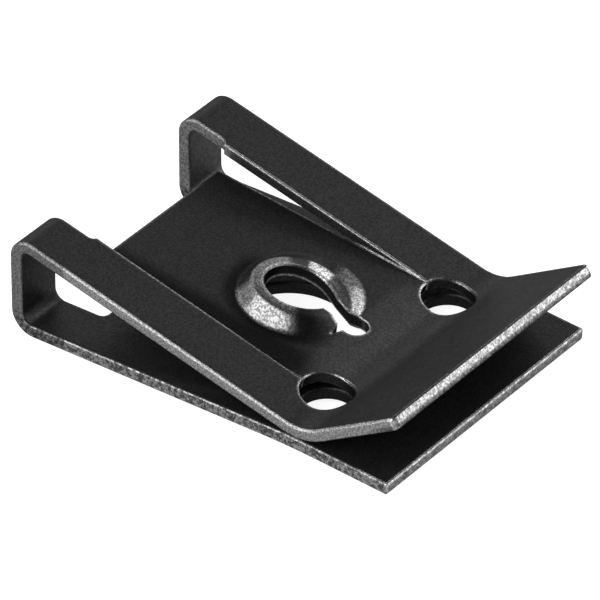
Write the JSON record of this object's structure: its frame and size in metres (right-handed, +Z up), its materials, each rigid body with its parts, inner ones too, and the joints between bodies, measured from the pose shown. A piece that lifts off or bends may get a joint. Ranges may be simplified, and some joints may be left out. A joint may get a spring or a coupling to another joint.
{
  "type": "u clip speed nut",
  "caption": "Folded spring-steel U clip with a lead-in lip, side straps and a helical screw impression over a slotted clearance hole.",
  "frame": {"origin": "centre of the overall outline in plan, on the plane the clip lies on", "axes": "+X from the back wall to the lead-in lip, +Y across the clip, +Z up out of the surface it lies on"},
  "size_m": [0.0232, 0.016, 0.0055],
  "materials": {
    "spring_steel": "black phosphate, oiled, satin"
  },
  "bodies": {
    "root": {"spring_clip": "spring_steel"}
  },
  "joints": []
}
